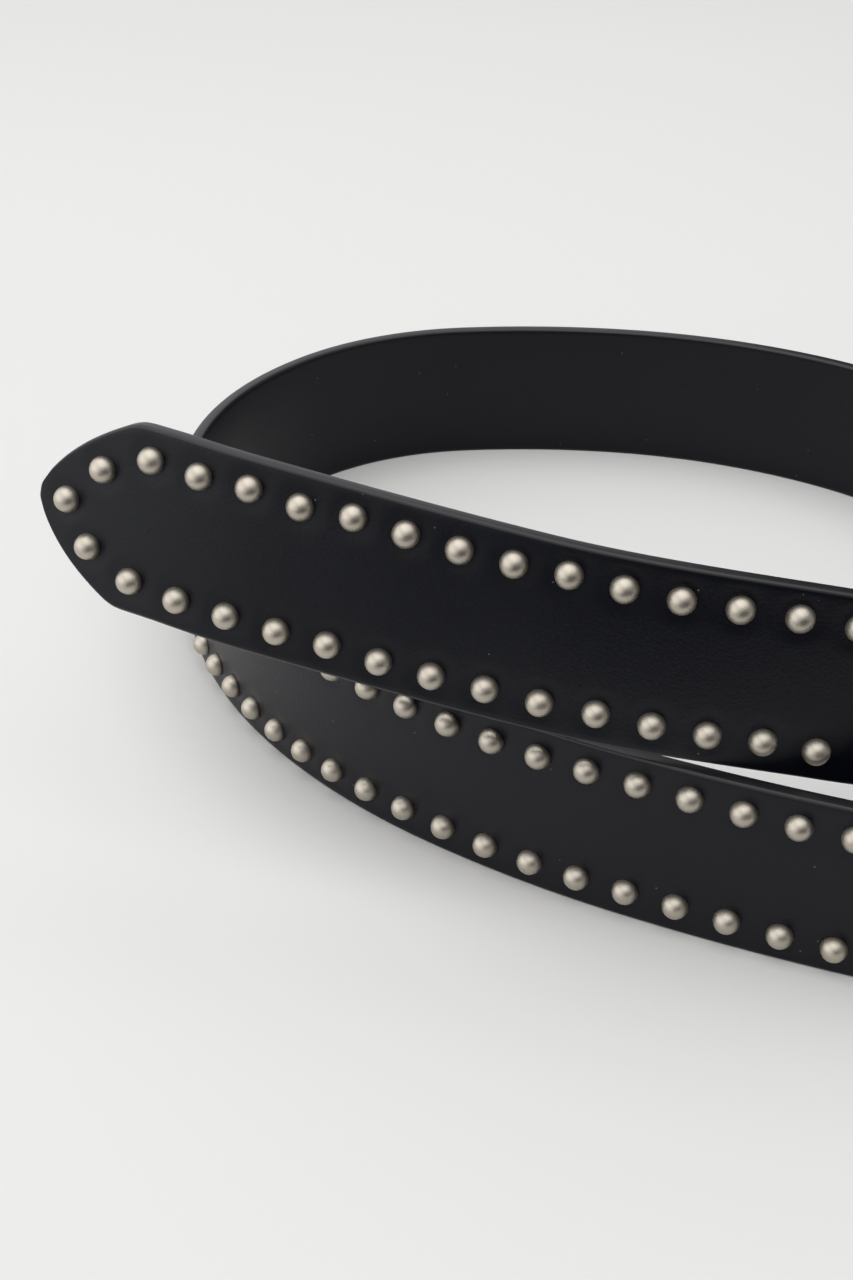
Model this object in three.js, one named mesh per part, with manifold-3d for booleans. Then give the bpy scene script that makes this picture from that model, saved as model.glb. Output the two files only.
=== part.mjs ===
// A studded leather belt, laid on its lower edge in one loose coil of a turn and a quarter.
// Millimetres, +Z up. The coil stands on Z = 0 and the origin is below the middle of its outline.
// Along the strap a place is given as its distance from the pointed tip.

import * as THREE from "three";
import { mergeVertices } from "three/addons/utils/BufferGeometryUtils.js";
import Module from "manifold-3d";

const wasm = await Module();
wasm.setup();

// Strap
const strapLength = 1047; // from the point of the tip to the fold round the buckle's bar
const strapWidth = 38;
const strapThickness = 3.1;
const edgeBevel = 0.5;
const tipLength = 22;
const noseWidth = 2.2;
const tipDrop = 2.1; // how far the point hangs below the strap's middle line
const tipDropReach = 30; // from the point to where the tip is level with the strap again
const tipDropFade = 1.3; // power by which the drop fades along its reach

// Studs
const studPitch = 10.17;
const studInset = 6.1; // from the edge of the strap to the middle of a row
const rowStagger = 0.9; // how far the upper row is set ahead of the lower one
const pointStudInset = 6.9; // from the point to the single stud on the centre line
const firstPairInset = 13.5;
const secondPairInset = 23.5;
const firstPairSpread = 0.63; // spread of the first pair, as a share of the full row spacing
const studDiameter = 5.3;
const studHeight = 2.75;
const domeShoulder = 42; // where the dome's outline turns over, in degrees from its rim
const studSink = 0.5; // depth of a field stud's foot in the leather
const spikeDiameter = 2.2; // of the pointed post under a stud, at the face of the leather
const spikeLength = 1.6;
const studSides = 10;
const spikeHoleSides = 6;
const looseStudPairs = 15; // pairs from the tip that are pieces of their own
const studFreeEnd = 34; // stretch before the buckle without studs
const settingScatter = 0.25; // how far a hand-set stud wanders across the strap
const scatterStep = 7.3; // radians of a sine wave from one pair to the next
const scatterShift = 1.9; // radians of that wave between a row and the middle

// Punched holes
const holeCount = 5;
const holePitch = 25;
const firstHoleInset = 178;
const holeDiameter = 4.5;
const holeSides = 12;

// Buckle
const barDiameter = 4;
const frameThickness = 3.6;
const railWidth = 4.6;
const frameLength = 31; // from the middle of the bar to the far end of the frame
const frameCorner = 7;
const railPlay = 0.9; // between the strap's edge and a rail
const tongueWidth = 4;
const tongueThickness = 2.6;
const tongueTipThickness = 2;
const tongueOverrun = 2.5;
const slotPlay = 1.2; // between the tongue and each side of the strap's slot
const slotReach = 9;
const turnBackLength = 30; // strap folded back behind itself past the bar

// Clearance between pieces
const clearance = 0.3;

// Fineness: of the traced centre line, of round pieces, and of what counts as one point or face
const traceStep = 1;
const foldSteps = 8;
const barSides = 12;
const cornerSteps = 6;
const weldDistance = 1e-4;
const flatness = 0.002;

const degrees = Math.PI / 180;
const halfWidth = strapWidth / 2;
const halfThickness = strapThickness / 2;
const rowReach = halfWidth - studInset;
const studRadius = studDiameter / 2;

// Half width along the tip, as shares of the tip's length and of half the width past the nose.
const tipOutline = [
  { along: 0, half: 0 },
  { along: 0.04, half: 0.095 },
  { along: 0.09, half: 0.205 },
  { along: 0.16, half: 0.32 },
  { along: 0.25, half: 0.445 },
  { along: 0.36, half: 0.573 },
  { along: 0.47, half: 0.682 },
  { along: 0.59, half: 0.785 },
  { along: 0.72, half: 0.883 },
  { along: 0.86, half: 0.97 },
  { along: 1, half: 1 },
];

// The coil from the tip to the buckle, one arc a row. share is of the strap's length, turn is the
// change of heading, height is that of the centre line at the row's end in strap widths, lift is
// the share of the frame's overhang added to it, and lean tips the upper edge outwards there.
const coil = [
  { share: 0.0456, turn: 15.0, height: 1.812, lift: 0, lean: -9 },
  { share: 0.0508, turn: 2.5, height: 1.623, lift: 0, lean: -6 },
  { share: 0.0508, turn: 12.9, height: 1.462, lift: 0, lean: -2.8 },
  { share: 0.0653, turn: 47.4, height: 1.06, lift: 0, lean: -1.4 },
  { share: 0.0653, turn: 37.4, height: 0.64, lift: 0, lean: 0 },
  { share: 0.0653, turn: 32.8, height: 0.5, lift: 0, lean: 0 },
  { share: 0.0653, turn: 33.8, height: 0.5, lift: 0, lean: 0 },
  { share: 0.0472, turn: 20.7, height: 0.5, lift: 0, lean: 0 },
  { share: 0.0472, turn: 16.3, height: 0.5, lift: 0, lean: 0 },
  { share: 0.0472, turn: 40.1, height: 0.5, lift: 0, lean: 0 },
  { share: 0.0472, turn: 31.3, height: 0.5, lift: 0, lean: 0 },
  { share: 0.0472, turn: 29.6, height: 0.5, lift: 0, lean: 0 },
  { share: 0.0472, turn: 19.7, height: 0.5, lift: 0, lean: 0 },
  { share: 0.0435, turn: 16.3, height: 0.5, lift: 0, lean: 0 },
  { share: 0.0435, turn: 10.7, height: 0.5, lift: 0, lean: 0 },
  { share: 0.0435, turn: 6.2, height: 0.5, lift: 0, lean: 0 },
  { share: 0.0544, turn: 50, height: 0.5, lift: 0, lean: 0 },
  { share: 0.0544, turn: 45, height: 0.5, lift: 1, lean: 0 },
  { share: 0.069, turn: 0, height: 0.5, lift: 1, lean: 0 },
];
const tipPose = { heading: -32.9, height: 1.986, lean: -11.7 };

// How far single studs of the tip stretch stand off their row, outwards, in pitches.
const strayStuds = [
  { pair: 2, upper: -0.015, lower: -0.055 },
  { pair: 3, upper: -0.03, lower: 0.01 },
  { pair: 4, upper: 0.035, lower: 0 },
  { pair: 5, upper: -0.035, lower: 0.01 },
  { pair: 6, upper: 0.05, lower: -0.015 },
  { pair: 7, upper: 0.01, lower: 0.03 },
  { pair: 8, upper: -0.015, lower: 0.03 },
  { pair: 9, upper: -0.01, lower: 0.005 },
  { pair: 10, upper: 0.04, lower: 0.005 },
  { pair: 11, upper: 0, lower: -0.025 },
  { pair: 12, upper: -0.015, lower: 0.005 },
  { pair: 14, upper: 0.01, lower: -0.03 },
];

const buckleHeight = strapWidth + 2 * (railPlay + railWidth);
const frameOverhang = (buckleHeight - strapWidth) / 2;
const foldRadius = barDiameter / 2 + clearance + halfThickness;
const foldSlack = Math.asin((2 * foldRadius - strapThickness - clearance) / turnBackLength);
const foldLength = foldRadius * (Math.PI + foldSlack);
const tailStart = strapLength + foldLength;
const tailEnd = tailStart + turnBackLength;

// The coil's arcs with the fold round the bar and the end turned back behind the strap.
function stretches() {
  const rows = coil.map((row) => ({
    length: row.share * strapLength,
    turn: row.turn * degrees,
    height: row.height * strapWidth + row.lift * frameOverhang,
    lean: row.lean * degrees,
  }));
  const last = rows[rows.length - 1];
  last.length = strapLength - rows.slice(0, -1).reduce((sum, row) => sum + row.length, 0);
  rows.push({ ...last, length: foldLength, turn: Math.PI + foldSlack });
  rows.push({ ...last, length: turnBackLength, turn: 0 });
  return rows;
}

// A cubic through the rows' ends that never overshoots them.
function smoothHeights(places, heights) {
  const slopes = heights.slice(1).map((h, i) => (h - heights[i]) / (places[i + 1] - places[i]));
  const tangents = heights.map((_, i) => {
    const before = slopes[Math.max(i - 1, 0)];
    const after = slopes[Math.min(i, slopes.length - 1)];
    return before * after > 0 ? (2 * before * after) / (before + after) : 0;
  });
  return (place) => {
    let i = 0;
    while (i < slopes.length - 1 && place > places[i + 1]) i += 1;
    const span = places[i + 1] - places[i];
    const t = (place - places[i]) / span;
    const ease = t * t * (3 - 2 * t);
    const leave = t * (1 - t) * (1 - t) * span * tangents[i];
    const arrive = t * t * (t - 1) * span * tangents[i + 1];
    return heights[i] * (1 - ease) + heights[i + 1] * ease + leave + arrive;
  };
}

// The strap's middle traced from the tip: its point, and the directions along, across and outwards.
function traceCentreLine() {
  const rows = stretches();
  const places = [0];
  rows.forEach((row) => places.push(places[places.length - 1] + row.length));
  const heightAt = smoothHeights(places, [tipPose.height * strapWidth, ...rows.map((r) => r.height)]);
  const leans = [tipPose.lean * degrees, ...rows.map((r) => r.lean)];
  const headings = [tipPose.heading * degrees];
  rows.forEach((row) => headings.push(headings[headings.length - 1] + row.turn));
  const trace = [];
  const point = new THREE.Vector3(0, 0, heightAt(0));
  rows.forEach((row, i) => {
    const steps = Math.max(foldSteps, Math.round(row.length / traceStep));
    for (let k = trace.length ? 1 : 0; k <= steps; k += 1) {
      const share = k / steps;
      const place = places[i] + row.length * share;
      const heading = headings[i] + row.turn * share;
      const rise = heightAt(place) - point.z;
      const stepLength = k ? row.length / steps : 0;
      const run = Math.sqrt(Math.max(stepLength * stepLength - rise * rise, 0));
      const midHeading = heading - (k ? row.turn / steps / 2 : 0);
      point.x += run * Math.cos(midHeading);
      point.y += run * Math.sin(midHeading);
      point.z += rise;
      const climb = heightAt(place + traceStep / 2) - heightAt(place - traceStep / 2);
      const slope = Math.asin(climb / traceStep);
      trace.push({
        place,
        point: point.clone(),
        ...directions(heading, slope, leans[i] * (1 - share) + leans[i + 1] * share),
      });
    }
  });
  return trace;
}

// Unit vectors of a strap that heads one way, climbs at a slope and leans outwards.
function directions(heading, slope, lean) {
  const along = new THREE.Vector3(
    Math.cos(slope) * Math.cos(heading),
    Math.cos(slope) * Math.sin(heading),
    Math.sin(slope),
  );
  const side = new THREE.Vector3(Math.sin(heading), -Math.cos(heading), 0);
  const upright = new THREE.Vector3().crossVectors(side, along);
  const across = upright.clone().multiplyScalar(Math.cos(lean)).addScaledVector(side, Math.sin(lean));
  const outwards = new THREE.Vector3().crossVectors(along, across);
  return { along, across, outwards };
}

const centreLine = traceCentreLine();

// The traced frame at a place, mixed from its two neighbours.
function frameAt(place) {
  let low = 0;
  let high = centreLine.length - 1;
  while (high - low > 1) {
    const middle = (low + high) >> 1;
    if (centreLine[middle].place <= place) low = middle;
    else high = middle;
  }
  const a = centreLine[low];
  const b = centreLine[high];
  const t = THREE.MathUtils.clamp((place - a.place) / (b.place - a.place), 0, 1);
  return {
    point: a.point.clone().lerp(b.point, t),
    along: a.along.clone().lerp(b.along, t).normalize(),
    across: a.across.clone().lerp(b.across, t).normalize(),
    outwards: a.outwards.clone().lerp(b.outwards, t).normalize(),
  };
}

// A point given by its distance from the tip, its height across the strap and its depth outwards.
function onStrap(place, across, outwards) {
  const frame = frameAt(place);
  return frame.point.addScaledVector(frame.across, across).addScaledVector(frame.outwards, outwards);
}

// The matrix that stands a piece, made upright on Y, on the strap's outer face.
// It lies on the chord between two sections, so that it seats on the flat facet there.
function seatOnFace(place, across) {
  const before = onStrap(place - studPitch / 2, across, halfThickness);
  const after = onStrap(place + studPitch / 2, across, halfThickness);
  const frame = frameAt(place);
  const outwards = frame.outwards;
  const along = after.clone().sub(before).normalize();
  const third = new THREE.Vector3().crossVectors(along, outwards).normalize();
  const up = new THREE.Vector3().crossVectors(third, along);
  return new THREE.Matrix4().makeBasis(along, up, third).setPosition(before.lerp(after, 0.5));
}

// Half of the strap's width at a place.
function halfWidthAt(place) {
  if (place >= tipLength) return halfWidth;
  const share = Math.max(place, 0) / tipLength;
  const i = Math.max(1, tipOutline.findIndex((row) => row.along >= share));
  const a = tipOutline[i - 1];
  const b = tipOutline[i];
  const t = (share - a.along) / (b.along - a.along);
  const nose = noseWidth / 2;
  return nose + (halfWidth - nose) * (a.half + (b.half - a.half) * t);
}

// How far the tip's middle hangs below the strap's middle line at a place.
function tipDropAt(place) {
  return place < tipDropReach ? tipDrop * (1 - place / tipDropReach) ** tipDropFade : 0;
}

// Where the strap has its cross sections: close on the tip and the fold, else midway between studs.
function sectionPlaces() {
  const places = tipOutline.map((row) => row.along * tipLength);
  const first = secondPairInset + studPitch / 2;
  for (let place = first; place < strapLength - studPitch / 2; place += studPitch) {
    if (place > tipLength + traceStep) places.push(place);
  }
  for (let k = 0; k <= foldSteps; k += 1) places.push(strapLength + (foldLength * k) / foldSteps);
  places.push(tailEnd);
  return places;
}

// The strap's cross section, a flat bar with its four long edges bevelled.
function strapSection() {
  const w = halfWidth;
  const t = halfThickness;
  const b = edgeBevel;
  return new THREE.Shape([
    new THREE.Vector2(-w + b, -t),
    new THREE.Vector2(w - b, -t),
    new THREE.Vector2(w, -t + b),
    new THREE.Vector2(w, t - b),
    new THREE.Vector2(w - b, t),
    new THREE.Vector2(-w + b, t),
    new THREE.Vector2(-w, t - b),
    new THREE.Vector2(-w, -t + b),
  ]);
}

// The plain strap: the section drawn out straight, then each of its steps moved to its place.
function strapBlank() {
  const places = sectionPlaces();
  const steps = places.length - 1;
  const blank = new THREE.ExtrudeGeometry(strapSection(), { depth: steps, steps, bevelEnabled: false });
  const position = blank.getAttribute("position");
  for (let i = 0; i < position.count; i += 1) {
    const place = places[Math.round(position.getZ(i))];
    const narrowing = halfWidth - halfWidthAt(place);
    const across = position.getX(i) - Math.sign(position.getX(i)) * narrowing - tipDropAt(place);
    const moved = onStrap(place, across, position.getY(i));
    position.setXYZ(i, moved.x, moved.y, moved.z);
  }
  return blank;
}

// A closed shape as a solid that can be cut and joined, placed by a matrix.
function solidOf(geometry, matrix) {
  const bare = geometry.clone();
  if (matrix) bare.applyMatrix4(matrix);
  bare.deleteAttribute("normal");
  bare.deleteAttribute("uv");
  const merged = mergeVertices(bare, weldDistance);
  return new wasm.Manifold(
    new wasm.Mesh({
      numProp: 3,
      vertProperties: new Float32Array(merged.attributes.position.array),
      triVerts: new Uint32Array(merged.index.array),
    }),
  );
}

// The geometry of a finished solid.
function geometryOf(solid) {
  const mesh = solid.getMesh();
  const geometry = new THREE.BufferGeometry();
  geometry.setAttribute("position", new THREE.BufferAttribute(mesh.vertProperties, 3));
  geometry.setIndex(new THREE.BufferAttribute(mesh.triVerts, 1));
  geometry.computeVertexNormals();
  return geometry;
}

// The outline of a dome from its rim to its top, as radius and height. Below the leather's face
// the rim carries on in the slope of the dome's side, and above it the rim is the full width.
function domeOutline(rimLevel) {
  const shoulder = new THREE.Vector2(
    studRadius * Math.cos(domeShoulder * degrees),
    studHeight * Math.sin(domeShoulder * degrees),
  );
  const spread = (studRadius - shoulder.x) / shoulder.y;
  const rim = new THREE.Vector2(studRadius - Math.min(rimLevel, 0) * spread, rimLevel);
  return [rim, shoulder, new THREE.Vector2(0, studHeight)];
}

// A stud of its own: a dome on a short pointed post, a clearance above the leather.
function studShape() {
  const point = new THREE.Vector2(0, clearance - spikeLength);
  const neck = new THREE.Vector2(spikeDiameter / 2, clearance);
  return new THREE.LatheGeometry([point, neck, ...domeOutline(clearance)], studSides);
}

// A stud of the field: a dome whose foot is sunk in the leather.
function fieldStudShape() {
  return new THREE.LatheGeometry([new THREE.Vector2(0, -studSink), ...domeOutline(-studSink)], studSides);
}

// The distance of a pair of studs from the tip.
function pairPlace(pair) {
  return pair === 1 ? firstPairInset : secondPairInset + (pair - 2) * studPitch;
}

// Where every stud sits: its name, its distance from the tip and its height across the strap.
function studPlaces() {
  const drop = -tipDropAt(pointStudInset);
  const places = [{ name: "stud_point", place: pointStudInset, across: drop, loose: true }];
  const pairs = Math.floor((strapLength - studFreeEnd - secondPairInset) / studPitch) + 2;
  for (let pair = 1; pair <= pairs; pair += 1) {
    const loose = pair <= looseStudPairs;
    const spread = pair === 1 ? firstPairSpread : 1;
    const stray = strayStuds.find((row) => row.pair === pair);
    for (const [row, side] of [["upper", 1], ["lower", -1]]) {
      const wander = loose ? 0 : settingScatter * Math.sin(pair * scatterStep + side * scatterShift);
      const offset = stray ? stray[row] * studPitch : wander;
      const place = pairPlace(pair) + (side * rowStagger) / 2;
      places.push({
        name: `stud_${row}_${String(pair).padStart(2, "0")}`,
        place,
        across: side * (rowReach * spread + offset) - tipDropAt(place),
        loose,
      });
    }
  }
  return places;
}

// Blind holes for the loose studs' posts: cones with the posts' own slope, a clearance larger.
function spikeHoles(studs) {
  const slope = spikeDiameter / 2 / spikeLength;
  const drop = clearance / Math.sin(Math.atan(slope));
  const bottom = clearance - spikeLength - drop;
  const mouth = studHeight;
  const hole = new THREE.LatheGeometry(
    [
      new THREE.Vector2(0, bottom),
      new THREE.Vector2((mouth - bottom) * slope, mouth),
      new THREE.Vector2(0, mouth),
    ],
    spikeHoleSides,
  );
  return studs.filter((s) => s.loose).map((s) => solidOf(hole, seatOnFace(s.place, s.across)));
}

// The punched holes of the tip end, right through the strap.
function punchedHoles() {
  const hole = new THREE.CylinderGeometry(
    holeDiameter / 2,
    holeDiameter / 2,
    4 * strapThickness,
    holeSides,
  );
  return Array.from({ length: holeCount }, (_, k) =>
    solidOf(hole, seatOnFace(firstHoleInset + k * holePitch, 0)),
  );
}

// The local frame at the fold: X along the strap, Y upwards across it and Z outwards, on the bar's axis.
function barMatrix() {
  const { point, along, across, outwards } = frameAt(strapLength);
  return new THREE.Matrix4()
    .makeBasis(along, across, outwards)
    .setPosition(point.clone().addScaledVector(outwards, -foldRadius));
}

// The slot through the fold that lets the tongue out.
function tongueSlot() {
  const width = tongueWidth + 2 * slotPlay;
  const outside = foldRadius + halfThickness + clearance;
  const slot = new THREE.BoxGeometry(slotReach + outside, width, 2 * outside);
  slot.translate((outside - slotReach) / 2, 0, 0);
  return solidOf(slot, barMatrix());
}

// The strap with its field of studs joined on and its holes cut.
function strap(studs) {
  let solid = solidOf(strapBlank());
  const dome = fieldStudShape();
  for (const stud of studs.filter((s) => !s.loose)) {
    solid = solid.add(solidOf(dome, seatOnFace(stud.place, stud.across)));
  }
  for (const hole of [...spikeHoles(studs), ...punchedHoles(), tongueSlot()]) {
    solid = solid.subtract(hole);
  }
  solid = solid.asOriginal().simplify(flatness);
  const mesh = new THREE.Mesh(geometryOf(solid), leather());
  mesh.name = "strap";
  return mesh;
}

// The loose studs of the tip stretch, each a mesh of its own.
function looseStuds(studs) {
  const shape = studShape();
  return studs
    .filter((s) => s.loose)
    .map((s) => {
      const mesh = new THREE.Mesh(shape, nickel());
      mesh.name = s.name;
      mesh.applyMatrix4(seatOnFace(s.place, s.across));
      return mesh;
    });
}

// The buckle's frame seen from outside, open in the middle, its near side left for the bar.
function buckleFrame() {
  const high = buckleHeight / 2;
  const near = -barDiameter / 2;
  const outline = new THREE.Shape();
  outline.moveTo(near, -high);
  outline.lineTo(frameLength - frameCorner, -high);
  outline.absarc(frameLength - frameCorner, -high + frameCorner, frameCorner, -Math.PI / 2, 0);
  outline.absarc(frameLength - frameCorner, high - frameCorner, frameCorner, 0, Math.PI / 2);
  outline.lineTo(near, high);
  outline.lineTo(near, high - railWidth);
  outline.lineTo(frameLength - railWidth, high - railWidth);
  outline.lineTo(frameLength - railWidth, -high + railWidth);
  outline.lineTo(near, -high + railWidth);
  outline.closePath();
  const frame = new THREE.ExtrudeGeometry(outline, {
    depth: frameThickness,
    bevelEnabled: false,
    curveSegments: cornerSteps,
  });
  frame.translate(0, 0, -frameThickness / 2);
  return frame;
}

// The round bar that joins the two rails through the fold.
function buckleBar() {
  return new THREE.CylinderGeometry(barDiameter / 2, barDiameter / 2, buckleHeight - railWidth, barSides);
}

// The tongue, from inside the bar to its seat on the far side of the frame.
function buckleTongue() {
  const seat = frameThickness / 2;
  const reach = frameLength + tongueOverrun;
  const side = new THREE.Shape();
  side.moveTo(0, -tongueThickness / 2);
  side.lineTo(frameLength - railWidth, seat - tongueThickness / 2);
  side.lineTo(reach, seat + tongueThickness / 2 - tongueTipThickness);
  side.lineTo(reach, seat + tongueThickness / 2);
  side.lineTo(frameLength - railWidth, seat + tongueThickness / 2);
  side.lineTo(0, tongueThickness / 2);
  side.closePath();
  const tongue = new THREE.ExtrudeGeometry(side, { depth: tongueWidth, bevelEnabled: false });
  tongue.translate(0, 0, -tongueWidth / 2);
  tongue.rotateX(Math.PI / 2);
  return tongue;
}

// The plain buckle, one piece.
function buckle() {
  const solid = solidOf(buckleFrame()).add(solidOf(buckleBar())).add(solidOf(buckleTongue()));
  const mesh = new THREE.Mesh(geometryOf(solid), nickel());
  mesh.name = "buckle";
  mesh.applyMatrix4(barMatrix());
  return mesh;
}

// Black smooth leather.
function leather() {
  return new THREE.MeshStandardMaterial({ color: 0x1b1c1f, roughness: 0.5, metalness: 0 });
}

// Brushed nickel, warm grey.
function nickel() {
  return new THREE.MeshStandardMaterial({ color: 0xb4ab9b, roughness: 0.35, metalness: 1 });
}

// The whole belt, moved so that the middle of its outline is over the origin.
function belt() {
  const studs = studPlaces();
  const group = new THREE.Group();
  group.add(strap(studs), ...looseStuds(studs), buckle());
  const box = new THREE.Box3().setFromObject(group, true);
  const middle = box.getCenter(new THREE.Vector3());
  group.position.set(-middle.x, -middle.y, -box.min.z);
  return group;
}

export default belt();
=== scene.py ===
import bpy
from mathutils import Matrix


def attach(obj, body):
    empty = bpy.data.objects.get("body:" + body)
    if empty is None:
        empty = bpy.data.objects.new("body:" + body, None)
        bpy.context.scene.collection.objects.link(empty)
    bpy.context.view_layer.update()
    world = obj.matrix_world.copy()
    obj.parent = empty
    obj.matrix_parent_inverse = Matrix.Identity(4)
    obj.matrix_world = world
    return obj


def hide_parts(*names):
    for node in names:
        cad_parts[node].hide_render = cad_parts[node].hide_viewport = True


bl_info = {
    "name": "Studded belt",
    "version": (1, 0, 0),
    "blender": (4, 5, 0),
    "location": "View3D > Sidebar > Belt",
    "description": "Dresses the coiled studded belt in leather and satin nickel",
    "category": "Object",
}

import bisect
import math

import bmesh
import bpy
from mathutils import Matrix, Vector

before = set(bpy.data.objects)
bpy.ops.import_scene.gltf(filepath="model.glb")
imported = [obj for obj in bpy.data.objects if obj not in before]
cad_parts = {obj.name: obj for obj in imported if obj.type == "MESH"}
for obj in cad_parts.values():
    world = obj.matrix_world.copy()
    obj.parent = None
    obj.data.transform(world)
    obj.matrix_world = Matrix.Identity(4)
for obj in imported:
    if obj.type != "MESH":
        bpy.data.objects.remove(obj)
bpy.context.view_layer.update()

# Where the point of the tip stands in the frame
TIP_PLACE = (-0.134006, -0.057151)
# Half width along the tip, as (share of its length, share of half the width past the nose)
TIP_OUTLINE = (
    (0.0, 0.0),
    (0.04, 0.095),
    (0.09, 0.205),
    (0.16, 0.32),
    (0.25, 0.445),
    (0.36, 0.573),
    (0.47, 0.682),
    (0.59, 0.785),
    (0.72, 0.883),
    (0.86, 0.97),
    (0.93, 0.993),
    (1.0, 1.0),
)
# The coil from the tip on, a row for each arc: share of the length, turn in degrees, and at its end
# the middle line's height in strap widths, lift in buckle overhangs, and lean in degrees
COIL = (
    (0.0456, 15.0, 1.812, 0, -9),
    (0.0508, 2.5, 1.623, 0, -6),
    (0.0508, 12.9, 1.462, 0, -2.8),
    (0.0653, 47.4, 1.06, 0, -1.4),
    (0.0653, 37.4, 0.64, 0, 0),
    (0.0653, 32.8, 0.5, 0, 0),
    (0.0653, 33.8, 0.5, 0, 0),
    (0.0472, 20.7, 0.5, 0, 0),
    (0.0472, 16.3, 0.5, 0, 0),
    (0.0472, 40.1, 0.5, 0, 0),
    (0.0472, 31.3, 0.5, 0, 0),
    (0.0472, 29.6, 0.5, 0, 0),
    (0.0472, 19.7, 0.5, 0, 0),
    (0.0435, 16.3, 0.5, 0, 0),
    (0.0435, 10.7, 0.5, 0, 0),
    (0.0435, 6.2, 0.5, 0, 0),
    (0.0544, 50, 0.5, 0, 0),
    (0.0544, 45, 0.5, 1, 0),
    (0.069, 0, 0.5, 1, 0),
)
# How the point of the tip stands: heading, height in strap widths, lean
TIP_HEADING, TIP_HEIGHT, TIP_LEAN = -32.9, 1.986, -11.7
# How far single studs of the tip stretch stand off their row, outwards, in pitches, as
# pair: (upper, lower)
STRAY_STUDS = {
    2: (-0.015, -0.055),
    3: (-0.03, 0.01),
    4: (0.035, 0),
    5: (-0.035, 0.01),
    6: (0.05, -0.015),
    7: (0.01, 0.03),
    8: (-0.015, 0.03),
    9: (-0.01, 0.005),
    10: (0.04, 0.005),
    11: (0, -0.025),
    12: (-0.015, 0.005),
    14: (0.01, -0.03),
}
# Steps in which the middle line is traced: their length, and the fewest in an arc
TRACE_STEP, FOLD_STEPS = 0.001, 8
# The wander of the hand-set studs, in radians of a sine wave: from pair to pair, and between rows
SCATTER_STEP, SCATTER_SHIFT = 7.3, 1.9
# How far the leather is drawn in round a stud, in stud radii, and how far off studs are looked
# for, in pitches
DIMPLE_REACH, DIMPLE_SEARCH = 1.05, 0.75
# The leather's slow waves: their height, the margin by an edge where they fade, and their
# radians in a metre along and across the strap
WAVE_HEIGHT, WAVE_MARGIN = 0.00008, 0.004
WAVES = ((61, 40), (23, -90))
# The room's light, as (level direction to the right, strength), on its bright and its dark side
ROOM_BRIGHT, ROOM_DARK = (-0.45, 1.0), (0.55, 0.36)
# The soft lights: name, place, the point that it looks at, size, power in watts
LIGHTS = (
    ("key", (-0.6, 0.8, 1.1), (0, 0, 0), (1.6, 1.6), 2.6),
    ("top", (0.1, -0.2, 1.6), (0, 0, 0), (2.2, 2.2), 19),
    ("left", (-1.1, -0.3, 0.45), (0, 0, 0.03), (1.5, 0.9), 3.4),
)
# The dark cards: name, middle, size, tilt up from level in degrees
DARK_CARDS = (
    ("front_card", (0.2, -0.495, 0.004), (0.95, 0.55), 0),
    ("room_card", (0.22, -0.77, 0.2), (0.95, 0.4), 90),
    ("back_card", (0.58, 0.6, 0.36), (0.9, 0.7), 90),
)
# The point on the floor that the camera looks at
CAMERA_AIM = (-0.060406, 0.006549, 0)
# The strap is cut twice over into LONG_CUTS lengths, and once into ROW_CUTS rows. Its stretches
# share the lengths out.
LONG_CUTS, ROW_CUTS = 30, 34
NOSE_STEPS, TIP_STEPS, BEND_STEPS, TAIL_STEPS = 4, 36, 14, 17
STRAP_STEPS = LONG_CUTS**2 - NOSE_STEPS - TIP_STEPS - BEND_STEPS - TAIL_STEPS
# Places nearer than this are one
SAME_PLACE = 1e-6
# How far the punches reach, in strap thicknesses
PUNCH_REACH = 4
# How level a face of the strap is, at least, to be leather, or else a long corner, which takes a
# lighter colour as a painted highlight
LEATHER_LEVEL, CORNER_LEVEL = 0.99, 0.5
# Angles up to which a strap, a stud and a buckle are smooth, in degrees
STRAP_SMOOTH, STUD_SMOOTH, BUCKLE_SMOOTH = 50, 60, 35
# Rounding of the buckle's edges, and the angle from which they are edges, in degrees
BUCKLE_ROUND, BUCKLE_CORNER = 0.0005, 50
# Length of the floor's sides
FLOOR_SIDE = 12


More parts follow.
